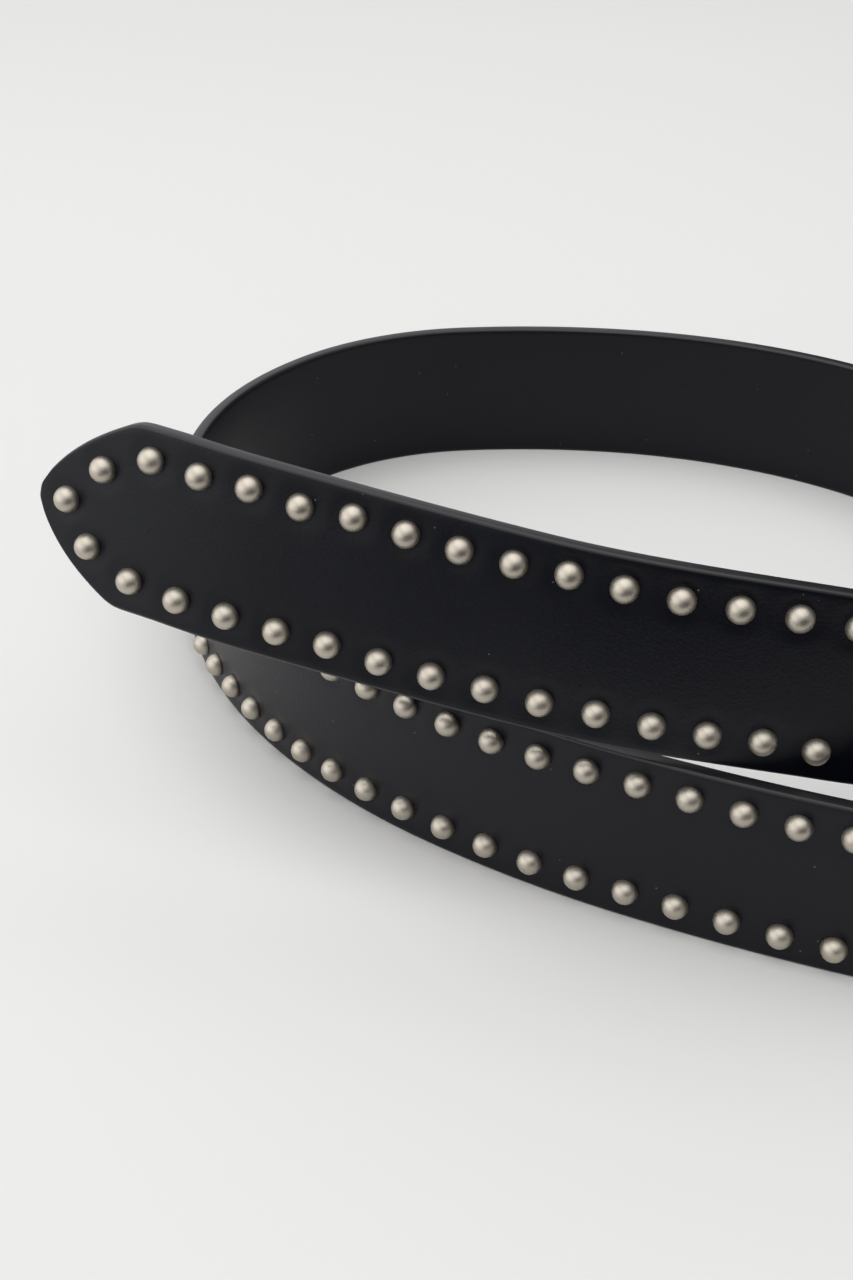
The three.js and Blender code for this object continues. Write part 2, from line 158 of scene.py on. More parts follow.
class BeltStrapSettings(bpy.types.PropertyGroup):
    """Sizes of the leather strap and of its fold round the buckle's bar"""

    length: bpy.props.FloatProperty(
        name="Length",
        description="From the point of the tip to the fold round the buckle's bar",
        default=1.047,
        unit="LENGTH",
        subtype="DISTANCE",
    )
    width: bpy.props.FloatProperty(
        name="Width",
        description="Across the strap",
        default=0.038,
        unit="LENGTH",
        subtype="DISTANCE",
    )
    thickness: bpy.props.FloatProperty(
        name="Thickness",
        description="Of the leather",
        default=0.0031,
        unit="LENGTH",
        subtype="DISTANCE",
    )
    edge_round: bpy.props.FloatProperty(
        name="Edge rounding",
        description="Radius of the painted edges",
        default=0.0006,
        unit="LENGTH",
        subtype="DISTANCE",
    )
    tip_length: bpy.props.FloatProperty(
        name="Tip length",
        description="From the point of the tip to the full width",
        default=0.022,
        unit="LENGTH",
        subtype="DISTANCE",
    )
    nose_width: bpy.props.FloatProperty(
        name="Nose width",
        description="Width of the blunt point",
        default=0.0022,
        unit="LENGTH",
        subtype="DISTANCE",
    )
    tip_drop: bpy.props.FloatProperty(
        name="Tip drop",
        description="How far the point hangs below the strap's middle line",
        default=0.0021,
        unit="LENGTH",
        subtype="DISTANCE",
    )
    drop_reach: bpy.props.FloatProperty(
        name="Drop reach",
        description="From the point to where the tip is level with the strap again",
        default=0.03,
        unit="LENGTH",
        subtype="DISTANCE",
    )
    tip_drop_fade: bpy.props.FloatProperty(
        name="Tip drop fade",
        description="Power by which the drop fades along its reach",
        default=1.3,
    )
    bar_diameter: bpy.props.FloatProperty(
        name="Bar diameter",
        description="Of the buckle's bar inside the fold",
        default=0.004,
        unit="LENGTH",
        subtype="DISTANCE",
    )
    bar_clearance: bpy.props.FloatProperty(
        name="Bar clearance",
        description="Between the bar and the leather",
        default=0.0003,
        unit="LENGTH",
        subtype="DISTANCE",
    )
    turn_back: bpy.props.FloatProperty(
        name="Turned back end",
        description="Length of strap folded back behind itself",
        default=0.03,
        unit="LENGTH",
        subtype="DISTANCE",
    )
    overhang: bpy.props.FloatProperty(
        name="Buckle overhang",
        description="How far the buckle's frame reaches past the strap's edge",
        default=0.0055,
        unit="LENGTH",
        subtype="DISTANCE",
    )
    hole_count: bpy.props.IntProperty(
        name="Holes", description="Punched holes of the tip end", default=5
    )
    hole_diameter: bpy.props.FloatProperty(
        name="Hole diameter",
        description="Of a punched hole",
        default=0.0045,
        unit="LENGTH",
        subtype="DISTANCE",
    )
    hole_pitch: bpy.props.FloatProperty(
        name="Hole pitch",
        description="From hole to hole",
        default=0.025,
        unit="LENGTH",
        subtype="DISTANCE",
    )
    first_hole: bpy.props.FloatProperty(
        name="First hole",
        description="From the point of the tip to the first hole",
        default=0.178,
        unit="LENGTH",
        subtype="DISTANCE",
    )
    slot_width: bpy.props.FloatProperty(
        name="Slot width",
        description="Of the slot in the fold that lets the tongue out",
        default=0.0064,
        unit="LENGTH",
        subtype="DISTANCE",
    )
    slot_reach: bpy.props.FloatProperty(
        name="Slot reach",
        description="From the bar's axis to the end of the slot",
        default=0.009,
        unit="LENGTH",
        subtype="DISTANCE",
    )


class BeltStudSettings(bpy.types.PropertyGroup):
    """Sizes and places of the domed studs"""

    pitch: bpy.props.FloatProperty(
        name="Pitch",
        description="From stud to stud along a row",
        default=0.01017,
        unit="LENGTH",
        subtype="DISTANCE",
    )
    inset: bpy.props.FloatProperty(
        name="Inset",
        description="From the edge of the strap to the middle of a row",
        default=0.0061,
        unit="LENGTH",
        subtype="DISTANCE",
    )
    stagger: bpy.props.FloatProperty(
        name="Stagger",
        description="How far the upper row is set ahead of the lower one",
        default=0.0009,
        unit="LENGTH",
        subtype="DISTANCE",
    )
    point_inset: bpy.props.FloatProperty(
        name="Point stud",
        description="From the point of the tip to the single stud",
        default=0.0069,
        unit="LENGTH",
        subtype="DISTANCE",
    )
    first_pair: bpy.props.FloatProperty(
        name="First pair",
        description="From the point of the tip to the first pair",
        default=0.0135,
        unit="LENGTH",
        subtype="DISTANCE",
    )
    second_pair: bpy.props.FloatProperty(
        name="Second pair",
        description="From the point of the tip to the second pair",
        default=0.0235,
        unit="LENGTH",
        subtype="DISTANCE",
    )
    first_spread: bpy.props.FloatProperty(
        name="First pair's spread",
        description="Spread of the first pair as a share of the full row spacing",
        default=0.63,
        subtype="FACTOR",
    )
    diameter: bpy.props.FloatProperty(
        name="Diameter",
        description="Of a stud",
        default=0.0053,
        unit="LENGTH",
        subtype="DISTANCE",
    )
    height: bpy.props.FloatProperty(
        name="Height",
        description="Of a stud's dome over the leather",
        default=0.00275,
        unit="LENGTH",
        subtype="DISTANCE",
    )
    sink: bpy.props.FloatProperty(
        name="Sink",
        description="How far a stud pulls the leather in round itself",
        default=0.0002,
        unit="LENGTH",
        subtype="DISTANCE",
    )
    loose_pairs: bpy.props.IntProperty(
        name="Tip pairs",
        description="Pairs of the tip stretch that are pieces of their own",
        default=15,
    )
    free_end: bpy.props.FloatProperty(
        name="Free end",
        description="Stretch before the buckle without studs",
        default=0.034,
        unit="LENGTH",
        subtype="DISTANCE",
    )
    scatter: bpy.props.FloatProperty(
        name="Scatter",
        description="How far a hand set stud wanders across the strap",
        default=0.00025,
        unit="LENGTH",
        subtype="DISTANCE",
    )


class BeltFinishSettings(bpy.types.PropertyGroup):
    """Colours of the leather, its painted edge and the metal"""

    leather: bpy.props.FloatVectorProperty(
        name="Leather",
        description="Colour of the leather",
        default=(0.002, 0.0024, 0.0056),
        subtype="COLOR",
    )
    edge: bpy.props.FloatVectorProperty(
        name="Edge paint",
        description="Colour of the painted edge",
        default=(0.013, 0.0133, 0.015),
        subtype="COLOR",
    )
    # The long corners' colour is a painted highlight: lighter where the rounded corners catch the
    # light
    corner: bpy.props.FloatVectorProperty(
        name="Corner highlight",
        description="Colour painted on the strap's long corners as a highlight",
        default=(0.016, 0.0157, 0.016),
        subtype="COLOR",
    )
    nickel: bpy.props.FloatVectorProperty(
        name="Nickel",
        description="Colour of the satin nickel",
        default=(0.53, 0.482, 0.408),
        subtype="COLOR",
    )


class BeltStageSettings(bpy.types.PropertyGroup):
    """The floor and the camera"""

    floor: bpy.props.FloatVectorProperty(
        name="Floor",
        description="Colour of the floor",
        default=(0.68, 0.674, 0.662),
        subtype="COLOR",
    )
    camera_distance: bpy.props.FloatProperty(
        name="Camera distance",
        description="From the camera to the point on the floor that it looks at",
        default=0.4379,
        unit="LENGTH",
        subtype="DISTANCE",
    )
    camera_height: bpy.props.FloatProperty(
        name="Camera height",
        description="Above the floor",
        default=0.227,
        unit="LENGTH",
        subtype="DISTANCE",
    )
    lens: bpy.props.FloatProperty(
        name="Lens",
        description="Focal length in millimetres on the long side of 36",
        default=50.0,
    )


# The strap's course


def between(rows, x):
    """A smooth curve through the rows' points, which never overshoots them."""
    xs = [row[0] for row in rows]
    ys = [row[1] for row in rows]
    slopes = [(ys[i + 1] - ys[i]) / (xs[i + 1] - xs[i]) for i in range(len(xs) - 1)]
    i = min(max(bisect.bisect_left(xs, x) - 1, 0), len(slopes) - 1)

    def tangent(k):
        before, after = slopes[max(k - 1, 0)], slopes[min(k, len(slopes) - 1)]
        return 2 * before * after / (before + after) if before * after > 0 else 0

    span = xs[i + 1] - xs[i]
    t = (x - xs[i]) / span
    ease = t * t * (3 - 2 * t)
    leave = t * (1 - t) * (1 - t) * span * tangent(i)
    arrive = t * t * (t - 1) * span * tangent(i + 1)
    return ys[i] * (1 - ease) + ys[i + 1] * ease + leave + arrive


class Course:
    """The coiled strap's middle line, traced from the tip, with its directions at every place."""

    def __init__(self, strap):
        self.strap = strap
        self.fold_radius = strap.bar_diameter / 2 + strap.bar_clearance + strap.thickness / 2
        rise = 2 * self.fold_radius - strap.thickness - strap.bar_clearance
        self.fold_slack = math.asin(rise / strap.turn_back)
        self.fold_length = self.fold_radius * (math.pi + self.fold_slack)
        self.tail_start = strap.length + self.fold_length
        self.tail_end = self.tail_start + strap.turn_back
        self.trace()

    def rows(self):
        """The arcs of the coil, fold and turned back end, as (length, turn, height, lean)."""
        s = self.strap
        rows = [
            (share * s.length, math.radians(turn), height * s.width + lift * s.overhang, lean)
            for share, turn, height, lift, lean in COIL
        ]
        _, turn, height, lean = rows.pop()
        rows.append((s.length - sum(r[0] for r in rows), turn, height, lean))
        rows.append((self.fold_length, math.pi + self.fold_slack, height, lean))
        rows.append((s.turn_back, 0.0, height, lean))
        return rows

    def trace(self):
        """Follows the arcs in small steps, and keeps a point and its directions at each."""
        rows = self.rows()
        places, headings = [0.0], [math.radians(TIP_HEADING)]
        heights, leans = [TIP_HEIGHT * self.strap.width], [TIP_LEAN]
        for length, turn, height, lean in rows:
            places.append(places[-1] + length)
            headings.append(headings[-1] + turn)
            heights.append(height)
            leans.append(lean)
        levels = list(zip(places, heights))
        point = Vector((*TIP_PLACE, heights[0]))
        self.places, self.frames = [], []
        for i, (length, turn, _, _) in enumerate(rows):
            steps = max(FOLD_STEPS, round(length / TRACE_STEP))
            for k in range(1 if self.places else 0, steps + 1):
                share = k / steps
                place = places[i] + length * share
                heading = headings[i] + turn * share
                rise = between(levels, place) - point.z
                step = length / steps if k else 0.0
                run = math.sqrt(max(step * step - rise * rise, 0))
                middle = heading - (turn / steps / 2 if k else 0)
                point = point + Vector((run * math.cos(middle), run * math.sin(middle), rise))
                ahead = between(levels, place + TRACE_STEP / 2)
                climb = ahead - between(levels, place - TRACE_STEP / 2)
                lean = math.radians(leans[i] * (1 - share) + leans[i + 1] * share)
                self.places.append(place)
                slope = math.asin(climb / TRACE_STEP)
                self.frames.append((point, *directions(heading, slope, lean)))

    def at(self, place):
        """The middle line's point at a place, and the directions along, across and outwards."""
        i = min(max(bisect.bisect_left(self.places, place), 1), len(self.places) - 1)
        low, high = self.places[i - 1], self.places[i]
        t = min(max((place - low) / (high - low), 0), 1)
        mixed = [a.lerp(b, t) for a, b in zip(self.frames[i - 1], self.frames[i])]
        return mixed[0], *[v.normalized() for v in mixed[1:]]

    def point(self, place, across, outwards):
        """A place on the strap, with its height across it and its depth outwards, as a point."""
        middle, _, up, out = self.at(place)
        return middle + up * across + out * outwards

    def seat(self, place, across):
        """The matrix that stands a piece, made upright on Z, on the strap's outer face."""
        middle, along, up, out = self.at(place)
        seat = Matrix((along, up, out)).transposed().to_4x4()
        seat.translation = self.point(place, across, self.strap.thickness / 2)
        return seat


def directions(heading, slope, lean):
    """Unit vectors of a strap that heads one way, climbs at a slope and leans outwards."""
    level = Vector((math.cos(heading), math.sin(heading), 0))
    along = level * math.cos(slope) + Vector((0, 0, math.sin(slope)))
    side = Vector((math.sin(heading), -math.cos(heading), 0))
    upright = side.cross(along)
    across = upright * math.cos(lean) + side * math.sin(lean)
    return along, across, along.cross(across)


def half_width(strap, place):
    """Half of the strap's width at a place."""
    if place >= strap.tip_length:
        return strap.width / 2
    nose = strap.nose_width / 2
    return nose + (strap.width / 2 - nose) * between(TIP_OUTLINE, max(place, 0) / strap.tip_length)


def tip_drop(strap, place):
    """How far the tip hangs below the strap's middle line at a place."""
    share = min(max(place / strap.drop_reach, 0), 1)
    return strap.tip_drop * (1 - share) ** strap.tip_drop_fade


def stud_places(strap, studs):
    """Every stud as (name, distance from the tip, height across the strap, whether it is loose)."""
    reach = strap.width / 2 - studs.inset
    places = [("stud_point", studs.point_inset, -tip_drop(strap, studs.point_inset), True)]
    pairs = math.floor((strap.length - studs.free_end - studs.second_pair) / studs.pitch) + 2
    for pair in range(1, pairs + 1):
        loose = pair <= studs.loose_pairs
        spread = studs.first_spread if pair == 1 else 1.0
        middle = studs.first_pair if pair == 1 else studs.second_pair + (pair - 2) * studs.pitch
        for row, side in (("upper", 1), ("lower", -1)):
            wave = math.sin(pair * SCATTER_STEP + side * SCATTER_SHIFT)
            wander = 0.0 if loose else studs.scatter * wave
            stray = STRAY_STUDS.get(pair)
            offset = stray[0 if side > 0 else 1] * studs.pitch if stray else wander
            name = f"stud_{row}_{pair:02d}"
            place = middle + side * studs.stagger / 2
            across = side * (reach * spread + offset) - tip_drop(strap, place)
            places.append((name, place, across, loose))
    return places


# Modelling helpers


def clear_selection():
    """Leaves nothing selected and nothing being edited."""
    if bpy.context.object and bpy.context.object.mode != "OBJECT":
        bpy.ops.object.mode_set(mode="OBJECT")
    bpy.ops.object.select_all(action="DESELECT")


def pick(piece, *others):
    """Selects a piece, and others with it, and makes it the active one."""
    clear_selection()
    for one in (*others, piece):
        one.select_set(True)
    bpy.context.view_layer.objects.active = piece


def apply_modifier(piece, kind, **values):
    """Adds a modifier, sets its values and applies it."""
    pick(piece)
    modifier = piece.modifiers.new(kind.title(), kind)
    for key, value in values.items():
        setattr(modifier, key, value)
    bpy.ops.object.modifier_apply(modifier=modifier.name)


def select_edges(piece, test):
    """Selects, in edit mode, the edges whose two ends pass the test."""
    bpy.ops.mesh.select_all(action="DESELECT")
    bpy.ops.mesh.select_mode(type="EDGE")
    mesh = bmesh.from_edit_mesh(piece.data)
    for edge in mesh.edges:
        a, b = edge.verts
        edge.select_set(test(a.co, b.co))
    bmesh.update_edit_mesh(piece.data)


def finish_piece(piece, name, materials, angle):
    """Names a finished piece, smooths it, gives it its materials and lets it ride on the belt."""
    piece.name = name
    piece.data.name = name
    if not piece.data.materials:
        for material in materials:
            piece.data.materials.append(material)
    pick(piece)
    bpy.ops.object.shade_smooth_by_angle(angle=math.radians(angle))
    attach(piece, "root")


# Shared surface effects


def new_group(name, inputs, outputs):
    """A shader node group with named inputs (name, kind, default) and outputs (name, kind)."""
    group = bpy.data.node_groups.new(name, "ShaderNodeTree")
    for label, kind, default in inputs:
        socket = group.interface.new_socket(label, in_out="INPUT", socket_type=kind)
        if default is not None:
            socket.default_value = default
    for label, kind in outputs:
        group.interface.new_socket(label, in_out="OUTPUT", socket_type=kind)
    return group


def add_node(tree, kind, place=(0, 0), values=None, **settings):
    """A node with its settings, and default values for its sockets by name or number."""
    node = tree.nodes.new(kind)
    node.location = place
    for key, value in settings.items():
        setattr(node, key, value)
    for key, value in (values or {}).items():
        node.inputs[key].default_value = value
    return node


def grain_group():
    """Fine leather grain: a height for bumps and a slow mottle."""
    existing = bpy.data.node_groups.get("Fine grain")
    if existing:
        return existing
    group = new_group(
        "Fine grain",
        (
            ("Vector", "NodeSocketVector", None),
            ("Pores per metre", "NodeSocketFloat", 1500.0),
            ("Mottle per metre", "NodeSocketFloat", 60.0),
        ),
        (("Height", "NodeSocketFloat"), ("Mottle", "NodeSocketFloat")),
    )
    into = add_node(group, "NodeGroupInput", (-800, 0))
    out = add_node(group, "NodeGroupOutput", (500, 0))
    pores = add_node(group, "ShaderNodeTexVoronoi", (-500, 200), feature="F1")
    fine = add_node(group, "ShaderNodeTexNoise", (-500, -100), {"Detail": 4.0, "Roughness": 0.6})
    slow = add_node(group, "ShaderNodeTexNoise", (-500, -400), {"Detail": 3.0, "Roughness": 0.55})
    mix = add_node(group, "ShaderNodeMath", (-100, 100), operation="MULTIPLY_ADD")
    mix.inputs[1].default_value = 0.55
    group.links.new(into.outputs["Vector"], pores.inputs["Vector"])
    group.links.new(into.outputs["Pores per metre"], pores.inputs["Scale"])
    group.links.new(into.outputs["Vector"], fine.inputs["Vector"])
    group.links.new(into.outputs["Pores per metre"], fine.inputs["Scale"])
    group.links.new(into.outputs["Vector"], slow.inputs["Vector"])
    group.links.new(into.outputs["Mottle per metre"], slow.inputs["Scale"])
    group.links.new(pores.outputs["Distance"], mix.inputs[0])
    group.links.new(fine.outputs["Fac"], mix.inputs[2])
    group.links.new(mix.outputs[0], out.inputs["Height"])
    group.links.new(slow.outputs["Fac"], out.inputs["Mottle"])
    return group


def dust_group():
    """Sparse specks of dust, as a mask."""
    existing = bpy.data.node_groups.get("Dust specks")
    if existing:
        return existing
    group = new_group(
        "Dust specks",
        (
            ("Vector", "NodeSocketVector", None),
            ("Specks per metre", "NodeSocketFloat", 350.0),
            ("Size", "NodeSocketFloat", 0.06),
        ),
        (("Mask", "NodeSocketFloat"),),
    )
    into = add_node(group, "NodeGroupInput", (-900, 0))
    out = add_node(group, "NodeGroupOutput", (500, 0))
    cells = add_node(group, "ShaderNodeTexVoronoi", (-600, 100), feature="F1")
    near = add_node(group, "ShaderNodeMath", (-300, 100), operation="LESS_THAN")
    split = add_node(group, "ShaderNodeSeparateColor", (-400, -200))
    few = add_node(group, "ShaderNodeMath", (-200, -200), {1: 0.82}, operation="GREATER_THAN")
    both = add_node(group, "ShaderNodeMath", (100, 0), operation="MULTIPLY")
    group.links.new(into.outputs["Vector"], cells.inputs["Vector"])
    group.links.new(into.outputs["Specks per metre"], cells.inputs["Scale"])
    group.links.new(cells.outputs["Distance"], near.inputs[0])
    group.links.new(into.outputs["Size"], near.inputs[1])
    group.links.new(cells.outputs["Color"], split.inputs["Color"])
    group.links.new(split.outputs["Red"], few.inputs[0])
    group.links.new(near.outputs[0], both.inputs[0])
    group.links.new(few.outputs[0], both.inputs[1])
    group.links.new(both.outputs[0], out.inputs["Mask"])
    return group


def new_material(name, preview):
    """A material, with its node tree and Principled shader, which are None if it was there."""
    material = bpy.data.materials.get(name)
    if material:
        return material, None, None
    material = bpy.data.materials.new(name)
    material.use_nodes = True
    material.diffuse_color = (*preview, 1)
    tree = material.node_tree
    tree.nodes.clear()
    shader = add_node(tree, "ShaderNodeBsdfPrincipled", (400, 0))
    output = add_node(tree, "ShaderNodeOutputMaterial", (750, 0))
    tree.links.new(shader.outputs["BSDF"], output.inputs["Surface"])
    return material, tree, shader


def surface_vector(tree):
    """Places on the flat strap, stored on the mesh before it was coiled."""
    flat = add_node(tree, "ShaderNodeAttribute", (-1100, 0), attribute_name="flat")
    return flat.outputs["Vector"]


def mottled(tree, grain, colour, dark):
    """A colour that the grain's slow mottle darkens down to a share of itself."""
    shade = add_node(tree, "ShaderNodeMix", (-450, 200), data_type="RGBA")
    shade.inputs["A"].default_value = (*[c * dark for c in colour], 1)
    shade.inputs["B"].default_value = (*colour, 1)
    tree.links.new(grain.outputs["Mottle"], shade.inputs["Factor"])
    return shade.outputs["Result"]


def specked(tree, vector, colour, speck):
    """A colour with sparse specks of another colour, and the node that sets them."""
    dust = add_node(tree, "ShaderNodeGroup", (-800, -300), node_tree=dust_group())
    mix = add_node(tree, "ShaderNodeMix", (-200, 200), data_type="RGBA")
    mix.inputs["B"].default_value = (*speck, 1)
    tree.links.new(vector, dust.inputs["Vector"])
    tree.links.new(dust.outputs["Mask"], mix.inputs["Factor"])
    tree.links.new(colour, mix.inputs["A"])
    return mix.outputs["Result"], dust


def add_tooth(tree, shader, grain, roughness, bump):
    """Lets the grain vary the roughness (least, most) and raise fine bumps (strength, distance)."""
    least, most = roughness
    strength, distance = bump
    ends = {"To Min": least, "To Max": most}
    rough = add_node(tree, "ShaderNodeMapRange", (-200, -50), ends)
    tree.links.new(grain.outputs["Mottle"], rough.inputs["Value"])
    tree.links.new(rough.outputs["Result"], shader.inputs["Roughness"])
    depths = {"Strength": strength, "Distance": distance}
    bumps = add_node(tree, "ShaderNodeBump", (100, -300), depths)
    tree.links.new(grain.outputs["Height"], bumps.inputs["Height"])
    tree.links.new(bumps.outputs["Normal"], shader.inputs["Normal"])


def leather_material(colours):
    """Smooth black leather with a fine grain."""
    material, tree, shader = new_material("Black leather", colours.leather)
    if tree is None:
        return material
    shader.inputs["Specular IOR Level"].default_value = 0.26
    vector = surface_vector(tree)
    grain = add_node(tree, "ShaderNodeGroup", (-800, 0), node_tree=grain_group())
    tree.links.new(vector, grain.inputs["Vector"])
    colour = mottled(tree, grain, colours.leather, dark=0.8)
    dusty, _ = specked(tree, vector, colour, speck=(0.09, 0.09, 0.1))
    tree.links.new(dusty, shader.inputs["Base Color"])
    add_tooth(tree, shader, grain, roughness=(0.3, 0.4), bump=(0.4, 0.00008))
    return material


def paint_material(name, colour):
    """Satin paint on the leather's edge, a little uneven."""
    material, tree, shader = new_material(name, colour)
    if tree is None:
        return material
    shader.inputs["Specular IOR Level"].default_value = 0.4
    vector = surface_vector(tree)
    grain = add_node(tree, "ShaderNodeGroup", (-800, 0), node_tree=grain_group())
    grain.inputs["Pores per metre"].default_value = 900.0
    grain.inputs["Mottle per metre"].default_value = 140.0
    tree.links.new(vector, grain.inputs["Vector"])
    tree.links.new(mottled(tree, grain, colour, dark=0.75), shader.inputs["Base Color"])
    add_tooth(tree, shader, grain, roughness=(0.3, 0.45), bump=(0.12, 0.00008))
    return material


def nickel_material(colours):
    """Satin nickel plate, warm grey, with a fine matt tooth."""
    material, tree, shader = new_material("Satin nickel", colours.nickel)
    if tree is None:
        return material
    shader.inputs["Metallic"].default_value = 1.0
    place = add_node(tree, "ShaderNodeTexCoord", (-1100, 0))
    grain = add_node(tree, "ShaderNodeGroup", (-800, 0), node_tree=grain_group())
    grain.inputs["Pores per metre"].default_value = 5200.0
    grain.inputs["Mottle per metre"].default_value = 420.0
    tree.links.new(place.outputs["Object"], grain.inputs["Vector"])
    colour = mottled(tree, grain, colours.nickel, dark=0.88)
    pitted, pits = specked(tree, place.outputs["Object"], colour, speck=(0.2, 0.18, 0.15))
    pits.inputs["Specks per metre"].default_value = 900.0
    pits.inputs["Size"].default_value = 0.1
    tree.links.new(pitted, shader.inputs["Base Color"])
    add_tooth(tree, shader, grain, roughness=(0.4, 0.48), bump=(0.06, 0.00005))
    return material


def floor_material(colour):
    """Plain pale floor, with a trace of unevenness."""
    material, tree, shader = new_material("Pale floor", colour)
    if tree is None:
        return material
    shader.inputs["Roughness"].default_value = 0.75
    shader.inputs["Specular IOR Level"].default_value = 0.15
    place = add_node(tree, "ShaderNodeTexCoord", (-900, 0))
    noise = add_node(tree, "ShaderNodeTexNoise", (-650, 0), {"Scale": 3.0, "Detail": 2.0})
    shade = add_node(tree, "ShaderNodeMix", (-300, 0), data_type="RGBA")
    shade.inputs["A"].default_value = (*[c * 0.985 for c in colour], 1)
    shade.inputs["B"].default_value = (*colour, 1)
    tree.links.new(place.outputs["Object"], noise.inputs["Vector"])
    tree.links.new(noise.outputs["Fac"], shade.inputs["Factor"])
    tree.links.new(shade.outputs["Result"], shader.inputs["Base Color"])
    return material


# The strap


def strap_stations(strap, course):
    """Places of the strap's cross sections, close on the nose, the tip and the fold."""
    round_off = strap.edge_round
    spans = (
        (0, round_off, NOSE_STEPS),
        (round_off, strap.tip_length, TIP_STEPS),
        (strap.tip_length, strap.length, STRAP_STEPS),
        (strap.length, course.tail_start, BEND_STEPS),
        (course.tail_start, course.tail_end, TAIL_STEPS),
    )
    stations = [0.0]
    for start, end, steps in spans:
        stations += [start + (end - start) * k / steps for k in range(1, steps + 1)]
    return stations


def flat_strap(strap, course):
    """The strap laid out flat: a bar with rounded long edges, cut into fine sections."""
    clear_selection()
    bpy.ops.mesh.primitive_cube_add(size=1, location=(0.5, 0, 0))
    piece = bpy.context.object
    bpy.ops.object.transform_apply(location=True, rotation=False, scale=False)
    bpy.ops.object.mode_set(mode="EDIT")
    bpy.ops.mesh.select_all(action="SELECT")
    bpy.ops.transform.resize(value=(1, strap.width, strap.thickness), center_override=(0, 0, 0))
    select_edges(piece, lambda a, b: abs(a.x - b.x) > 0.5)
    bpy.ops.mesh.bevel(offset=strap.edge_round, segments=3, profile=0.5, affect="EDGES")
    select_edges(piece, lambda a, b: abs(a.y - b.y) > strap.width / 2)
    bpy.ops.mesh.subdivide(number_cuts=ROW_CUTS - 1)
    for _ in range(2):
        select_edges(piece, lambda a, b: abs(a.x - b.x) > SAME_PLACE)
        bpy.ops.mesh.subdivide(number_cuts=LONG_CUTS - 1)
    bpy.ops.object.mode_set(mode="OBJECT")
    stations = strap_stations(strap, course)
    half, rim = strap.width / 2, strap.edge_round
    for vertex in piece.data.vertices:
        co = vertex.co
        place = stations[round(co.x * (len(stations) - 1))]
        full = half_width(strap, place)
        end = min(place, course.tail_end - place)
        inset = rim - math.sqrt(max(rim * rim - (rim - end) ** 2, 0)) if end < rim else 0.0
        if abs(co.y) > half - rim - SAME_PLACE:
            across = math.copysign(full - (half - abs(co.y)), co.y)
        else:
            across = co.y * (full - rim) / (half - rim)
        depth = math.copysign(max(abs(co.z) - inset, 0), co.z)
        across = across * (full - inset) / full - tip_drop(strap, place)
        vertex.co = (place, across, depth)
    return piece


def cutter(shape, **values):
    """A round or square cutter for the flat strap."""
    clear_selection()
    if shape == "round":
        bpy.ops.mesh.primitive_cylinder_add(vertices=32, **values)
    else:
        bpy.ops.mesh.primitive_cube_add(size=1, **values)
    return bpy.context.object


def punch(piece, strap, course):
    """Cuts the round holes of the tip end and the slot through the fold."""
    cutters = [
        cutter(
            "round",
            radius=strap.hole_diameter / 2,
            depth=PUNCH_REACH * strap.thickness,
            location=(strap.first_hole + k * strap.hole_pitch, 0, 0),
        )
        for k in range(strap.hole_count)
    ]
    near = strap.length - strap.slot_reach
    far = course.tail_start + strap.slot_reach
    slot = cutter("square", location=((near + far) / 2, 0, 0))
    slot.scale = (far - near, strap.slot_width, PUNCH_REACH * strap.thickness)
    pick(slot)
    bpy.ops.object.transform_apply(location=False, rotation=False, scale=True)
    pick(cutters[0], *cutters[1:], slot)
    bpy.ops.object.join()
    tool = bpy.context.object
    apply_modifier(piece, "BOOLEAN", operation="DIFFERENCE", object=tool, solver="EXACT")
    bpy.data.objects.remove(tool)


def dimple(distance, radius, sink):
    """How deep the leather is drawn in at a distance from a stud's middle."""
    reach = radius * DIMPLE_REACH
    if distance <= radius:
        return sink
    t = min((distance - radius) / reach, 1)
    return sink * (1 - t) ** 2 * (1 + 2 * t)


def settle_leather(piece, strap, studs):
    """Draws the outer face in round every stud, and lays slow low waves over it."""
    radius = studs.diameter / 2
    spots = sorted((place, across) for _, place, across, _ in stud_places(strap, studs))
    starts = [spot[0] for spot in spots]
    reach = studs.pitch * DIMPLE_SEARCH
    for vertex in piece.data.vertices:
        place, across, depth = vertex.co
        if depth < strap.thickness / 2 - strap.edge_round:
            continue
        low = bisect.bisect_left(starts, place - reach)
        high = bisect.bisect_right(starts, place + reach)
        drop = 0.0
        for spot in spots[low:high]:
            distance = math.hypot(spot[0] - place, spot[1] - across)
            drop = max(drop, dimple(distance, radius, studs.sink))
        slow = math.prod(math.sin(place * a + across * b) for a, b in WAVES)
        edge = min(1, (strap.width / 2 - abs(across)) / WAVE_MARGIN)
        vertex.co.z = depth - drop - WAVE_HEIGHT * slow * max(edge, 0)


def store_flat_places(piece):
    """Keeps every vertex's place on the flat strap, for the leather's grain."""
    places = piece.data.attributes.new("flat", "FLOAT_VECTOR", "POINT")
    for item, vertex in zip(places.data, piece.data.vertices):
        item.vector = vertex.co


def paint_edges(piece):
    """Gives the cut edges, holes and slot to the edge paint, and the long corners to a lighter
    colour, a painted highlight where the rounded corners catch the light.
    """
    for face in piece.data.polygons:
        level = abs(face.normal.z)
        face.material_index = 0 if level > LEATHER_LEVEL else 2 if level > CORNER_LEVEL else 1


